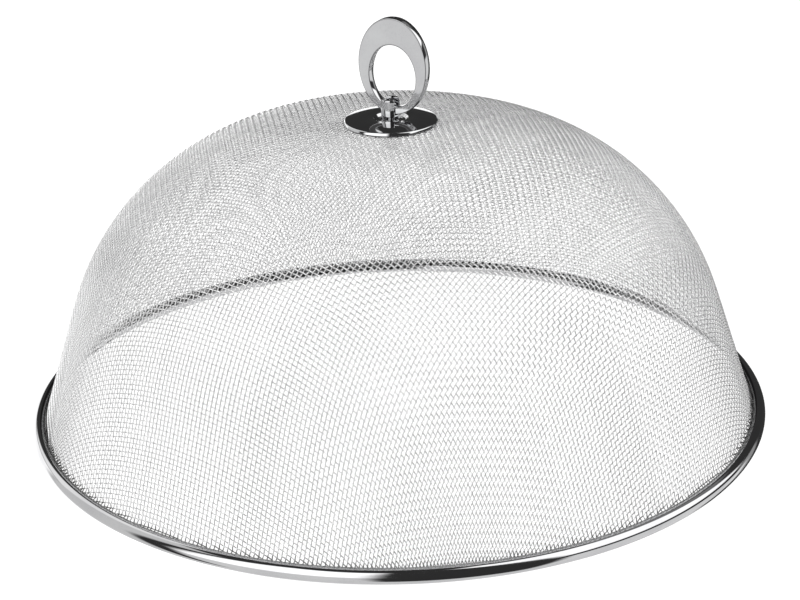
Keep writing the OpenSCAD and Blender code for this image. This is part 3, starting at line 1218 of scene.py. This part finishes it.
@dataclass
class Studio:
    """The floor, the soft panels round it and the camera."""

    azimuth: float = 28.0
    elevation: float = 22.613
    roll: float = -1.4717
    offset: tuple[float, float, float] = (-0.6513, 42.63, 871.05)
    focal_px: float = 2100.0
    frame_px: float = 800.0
    sensor: float = 36.0
    clip: tuple[float, float] = (0.01, 50.0)
    floor_half: float = 6.0
    floor_drop: float = 0.0001
    floor_grey: float = 0.3
    floor_rough: float = 0.9
    floor_glow: float = 0.92
    dark: float = 0.06
    ground: float = 1.2
    ground_edge: float = -52.0
    ground_soft: float = 4.0
    panels: tuple[SoftPanel, ...] = (
        SoftPanel("front_left", -38.0, 28.5, 0.0, 70.0, 2.6, 6.0),
        SoftPanel("front_left_low", -38.0, 28.5, -52.0, 0.0, 1.25),
        SoftPanel("right", 84.0, 37.0, 14.0, 80.0, 2.4),
        SoftPanel("right_low", 84.0, 37.0, -52.0, -3.0, 1.3),
        SoftPanel("right_edge", 124.0, 6.0, -28.0, 10.0, 0.5, 3.0),
        SoftPanel("left", -103.0, 20.0, -52.0, 58.0, 1.1),
        SoftPanel("back_left", -145.0, 20.0, -52.0, 16.0, 2.0),
        SoftPanel("back_left_high", -138.0, 15.0, 18.0, 56.0, 1.6),
        SoftPanel("back_right_high", 140.0, 13.0, 36.0, 60.0, 0.3),
        SoftPanel("back_right_low", 138.0, 15.0, -52.0, -42.0, 1.2),
        SoftPanel("back", 182.0, 20.0, -52.0, 5.0, 2.0, 2.0),
    )

    def camera(self) -> Piece:
        """Places the camera as it was fitted to the photograph.

        Its forward, right and down axes follow from azimuth, elevation and roll, and the offset
        is the cover's origin in those axes.

        Returns:
            The camera.
        """
        a, e, q = (math.radians(v) for v in (self.azimuth, self.elevation, self.roll))
        right = np.array([math.cos(a), math.sin(a), 0.0])
        flat = math.cos(e)
        ahead = np.array([-math.sin(a) * flat, math.cos(a) * flat, -math.sin(e)])
        down = np.cross(ahead, right)
        rolled_right = math.cos(q) * right - math.sin(q) * down
        rolled_down = math.sin(q) * right + math.cos(q) * down
        axes = np.stack([rolled_right, rolled_down, ahead])
        matrix = np.eye(4)
        matrix[:3, :3] = np.stack([rolled_right, -rolled_down, -ahead], axis=1)
        matrix[:3, 3] = -(np.array(self.offset) * MM) @ axes
        lens = bpy.data.cameras.new("camera")
        lens.sensor_width = self.sensor
        lens.lens = self.sensor * self.focal_px / self.frame_px
        lens.clip_start, lens.clip_end = self.clip
        made = bpy.data.objects.new("camera", lens)
        bpy.context.scene.collection.objects.link(made)
        made.matrix_world = Matrix(matrix.tolist())
        bpy.context.scene.camera = made
        return made

    def floor(self) -> Piece:
        """Makes the plain pale floor.

        Returns:
            The floor.
        """
        edge = self.floor_half
        mesh = bpy.data.meshes.new("floor")
        corners = [(-edge, -edge, 0.0), (edge, -edge, 0.0), (edge, edge, 0.0), (-edge, edge, 0.0)]
        mesh.from_pydata(corners, [], [(0, 1, 2, 3)])
        made = bpy.data.objects.new("floor", mesh)
        made.location.z = -self.floor_drop
        bpy.context.scene.collection.objects.link(made)
        paint = bpy.data.materials.new("pale_floor")
        looks = {
            "Base Color": (self.floor_grey,) * 3 + (1.0,),
            "Roughness": self.floor_rough,
            "Specular IOR Level": 0.0,
            "Emission Color": (1.0, 1.0, 1.0, 1.0),
            "Emission Strength": self.floor_glow,
        }
        tree = Tree.of(paint)
        shader = tree.add("BsdfPrincipled", looks)
        tree.add("OutputMaterial", {"Surface": shader.outputs[0]})
        mesh.materials.append(paint)
        made.visible_glossy = False
        return made

    @staticmethod
    def level_edges(level: float, soft: float) -> tuple[float, float]:
        """Heights of a direction where a soft edge at the given angle starts and ends."""
        return tuple(math.sin(math.radians(level + k * soft / 2)) for k in (-1, 1))

    def light(self) -> bpy.types.World:
        """Lights the set from the panels and the pale ground, in a dim room.

        A panel's mask is a smooth step of the cosine between a direction's compass bearing and
        the panel's, times smooth steps of the direction's height at the panel's lower and upper
        edges.

        Returns:
            The world.
        """
        world = bpy.data.worlds.new("studio")
        tree = Tree.of(world)
        x, y, z = tree.add("SeparateXYZ", {0: tree.add("TexCoord").outputs["Generated"]}).outputs
        level = tree.add("CombineXYZ", {0: x, 1: y}).outputs[0]
        bearing = tree.add("VectorMath", {0: level}, operation="NORMALIZE").outputs[0]
        edges = self.level_edges(self.ground_edge, self.ground_soft)
        total = tree.math("ADD", tree.ramp(z, edges, self.ground, 0.0), self.dark)
        for panel in self.panels:
            a, soft = math.radians(self.azimuth + panel.azimuth), panel.soft
            inputs = {0: bearing, 1: (math.sin(a), -math.cos(a), 0.0)}
            facing = tree.add("VectorMath", inputs, operation="DOT_PRODUCT", label=panel.name)
            wide = tuple(math.cos(math.radians(panel.half_width + k * soft)) for k in (1, -1))
            mask = tree.ramp(facing.outputs["Value"], wide, 0.0, panel.strength)
            low = tree.ramp(z, self.level_edges(panel.low, soft), 0.0, 1.0)
            high = tree.ramp(z, self.level_edges(panel.high, soft), 1.0, 0.0)
            mask = tree.math("MULTIPLY", tree.math("MULTIPLY", mask, low), high)
            total = tree.math("ADD", mask, total)
        glow = tree.add("Background", {"Strength": total})
        tree.add("OutputWorld", {"Surface": glow.outputs[0]})
        bpy.context.scene.world = world
        return world

    def build(self) -> None:
        """Sets the camera, the floor, the light and plain colour handling."""
        self.camera()
        self.floor()
        self.light()
        bpy.context.scene.view_settings.view_transform = "Standard"


def dress(pieces: list[Piece], material: bpy.types.Material) -> None:
    """Gives pieces one material in place of what they had.

    Args:
        pieces: The pieces.
        material: Their new material.
    """
    for piece in pieces:
        piece.data.materials.clear()
        piece.data.materials.append(material)


def main() -> None:
    """Builds the set and the cover's sub-assemblies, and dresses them."""
    logging.basicConfig(level=logging.INFO, format="%(name)s: %(message)s")
    Studio().build()
    groups = EffectGroups()
    rim = RolledRim()
    cloth = WireCloth(rim)
    base = HandleBase(cloth)
    post = HandlePost(base)
    ring = HandleRing(post)
    polished = MetalFinish(
        "polished_rim", Tone.SHEET, Gloss.POLISHED, edge=rim.edge, painted_shade=PaintedShade.LIP
    )
    dress(rim.build(), polished.material(groups))
    drawn = MetalFinish(
        "drawn_wire",
        Tone.WIRE,
        Gloss.DRAWN,
        patch_scale=90.0,
        line_strength=0.0,
        own=cloth.shade,
        edge=cloth.hem,
        painted_shade=PaintedShade.HEM,
    )
    dress(cloth.build(), drawn.material(groups))
    pressed = MetalFinish(
        "chrome_base", Tone.CHROME, Gloss.MIRROR, edge=base.edge, painted_shade=PaintedShade.FOOT
    )
    dress(base.build(), pressed.material(groups))
    chrome = MetalFinish("chrome_post", Tone.CHROME, Gloss.MIRROR)
    dress(post.build(), chrome.material(groups))
    bright = MetalFinish(
        "chrome_ring", Tone.CHROME, Gloss.BRIGHT, edge=ring.edge, mirrored=ring.face
    )
    dress(ring.build(), bright.material(groups))
    steel = MetalFinish("plain_steel", Tone.STEEL, Gloss.SATIN)
    inner = ("rim_core_wire", "backing_washer", "spring_washer")
    dress([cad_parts[name] for name in inner], steel.material(groups))
    plated = MetalFinish("nut_steel", Tone.PLATED, Gloss.PLATED)
    dress([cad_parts["cap_nut"]], plated.material(groups))


if __name__ == "__main__":
    main()
